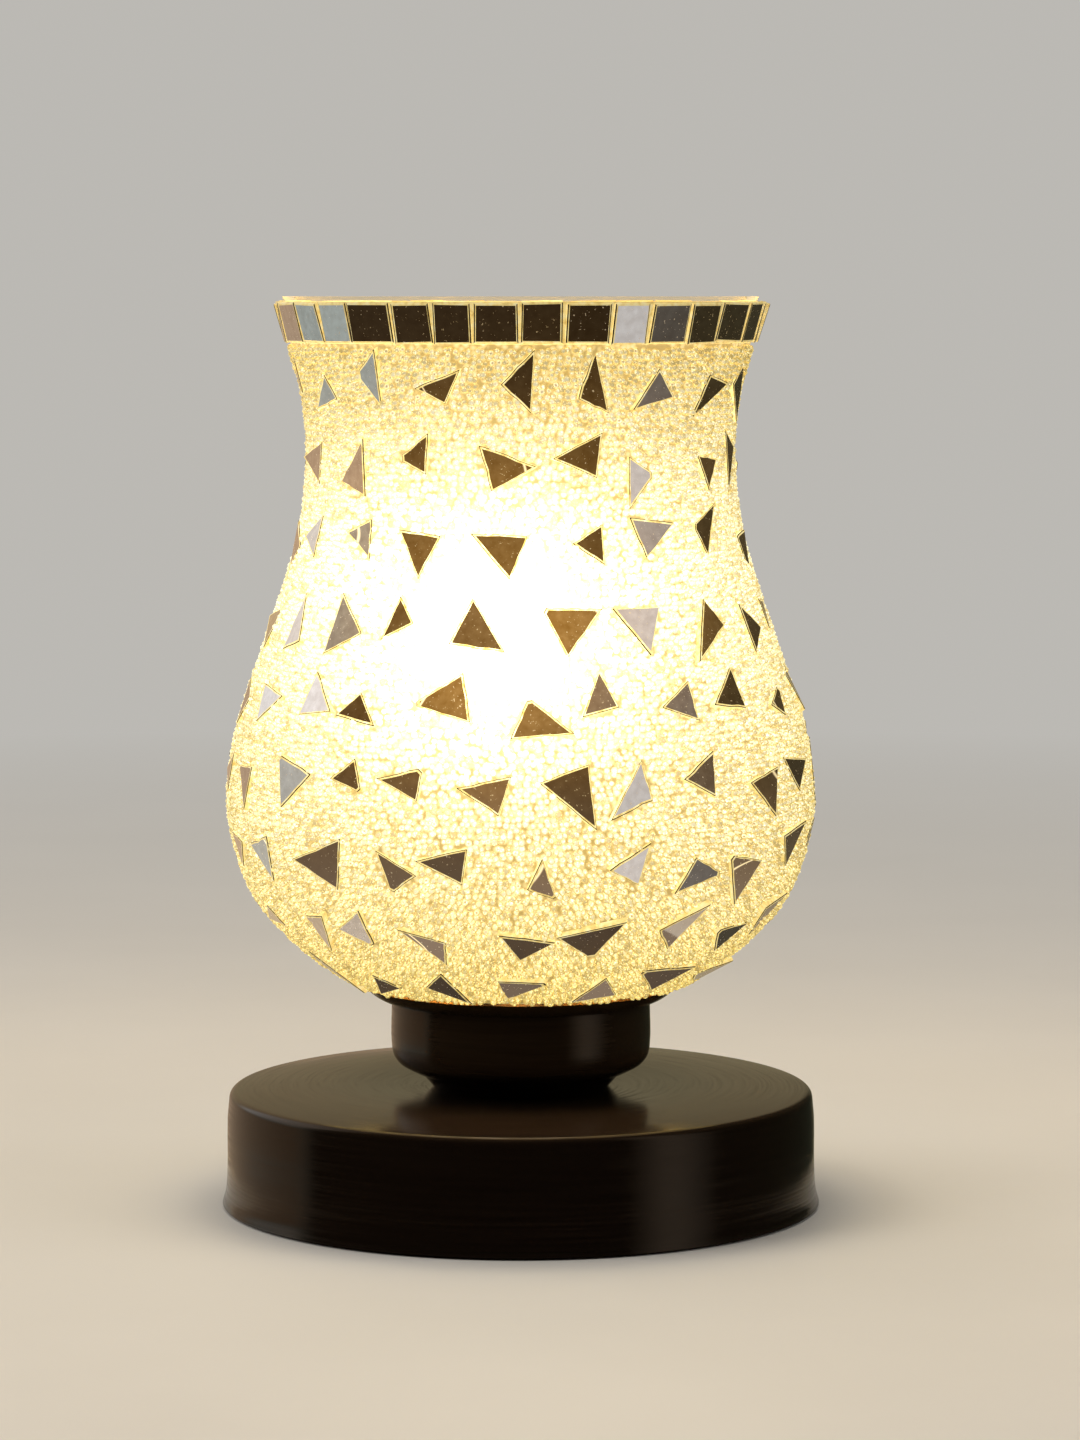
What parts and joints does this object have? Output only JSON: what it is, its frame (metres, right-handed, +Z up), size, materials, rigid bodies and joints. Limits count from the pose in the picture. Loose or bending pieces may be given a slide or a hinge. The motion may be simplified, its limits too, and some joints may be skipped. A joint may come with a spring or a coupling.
{
  "type": "mosaic glass table lamp",
  "caption": "Table lamp with a vase-shaped glass shade in clear beads and mirror chips, a rim band of mirror tiles, and a dark round metal base and cup.",
  "frame": {"origin": "centre of the felt underside of the base, on the table", "axes": "+Z up along the lamp's axis, -Y towards the front, +Y towards the back where the cord leaves the base"},
  "size_m": [0.15, 0.2475, 0.227],
  "materials": {
    "felt": "dark brown felt",
    "fibreboard": "raw fibreboard",
    "bronze_enamel": "satin black-brown enamel over spun steel",
    "rubber": "black rubber",
    "steel": "zinc-plated steel",
    "black_plastic": "black moulded plastic",
    "porcelain": "white porcelain",
    "nickel": "nickel-plated",
    "brass": "bare brass",
    "brown_wire": "brown insulation",
    "blue_wire": "blue insulation",
    "fibre": "red vulcanised fibre",
    "shade_glass": "clear blown glass",
    "bead_glass": "clear glass beads with mirror chips in pale resin",
    "mirror_tiles": "square mirror tiles in pale grout",
    "frosted_glass": "frosted bulb glass",
    "clear_glass": "clear glass",
    "tungsten": "tungsten wire",
    "cord_sheath": "black sheathed cord"
  },
  "bodies": {
    "lamp": {"felt_pad": "felt", "base_board": "fibreboard", "base_shell": "bronze_enamel", "cord_grommet": "rubber", "neck_collar": "bronze_enamel", "shade_cup": "bronze_enamel", "threaded_rod": "steel", "lower_washer": "steel", "lower_nut": "steel", "upper_nut": "steel", "holder_cap": "black_plastic", "holder_shell": "black_plastic", "holder_core": "porcelain", "screw_sleeve": "nickel", "centre_contact": "brass", "neutral_contact": "brass", "live_terminal_screw": "brass", "neutral_terminal_screw": "brass", "live_wire": "brown_wire", "neutral_wire": "blue_wire", "glass_shade": "shade_glass", "mosaic_coat": "bead_glass", "rim_tile_band": "mirror_tiles", "lamp_cord": "cord_sheath", "plug_cord": "cord_sheath", "switch_base": "black_plastic", "switch_cover": "black_plastic", "rocker_pin": "steel", "switch_screw_left": "steel", "switch_screw_right": "steel", "fixed_contact": "brass", "spring_contact": "brass", "live_lead_in": "brown_wire", "live_lead_out": "brown_wire", "neutral_link": "blue_wire", "plug_body": "black_plastic", "plug_pin_near": "nickel", "plug_pin_far": "nickel"},
    "bulb_rise": {"bulb_tip": "nickel"},
    "bulb": {"bulb_insulator": "black_plastic", "bulb_cap": "nickel", "bulb_glass": "frosted_glass", "bulb_stem": "clear_glass", "filament_wire_left": "steel", "filament_wire_right": "steel", "filament": "tungsten"},
    "ring_rise": {"ring_washer": "fibre"},
    "ring": {"shade_ring": "black_plastic"},
    "rocker": {"switch_rocker": "black_plastic"}
  },
  "joints": [
    {"name": "bulb_unscrews_up", "type": "slide", "parent": "lamp", "child": "bulb_rise", "axis": [0, 0, 1], "range_m": [0, 0.01451]},
    {"name": "bulb_turns", "type": "hinge", "parent": "bulb_rise", "child": "bulb", "pos_m": [0, 0, 0.0654], "axis": [0, 0, 1], "range_deg": [0, 1441]},
    {"name": "ring_unscrews_up", "type": "slide", "parent": "lamp", "child": "ring_rise", "axis": [0, 0, 1], "range_m": [0, 0.024]},
    {"name": "ring_turns", "type": "hinge", "parent": "ring_rise", "child": "ring", "pos_m": [0, 0, 0.0586], "axis": [0, 0, 1], "range_deg": [0, 3457]},
    {"name": "switch_rocks", "type": "hinge", "parent": "lamp", "child": "rocker", "pos_m": [0, 0.124, 0.011], "axis": [0, -1, 0], "range_deg": [0, 16]}
  ],
  "couplings": [
    {"joint": "bulb_turns", "follows": "bulb_unscrews_up", "rad_per_m": 1731.6},
    {"joint": "ring_turns", "follows": "ring_unscrews_up", "rad_per_m": 2513.3}
  ]
}
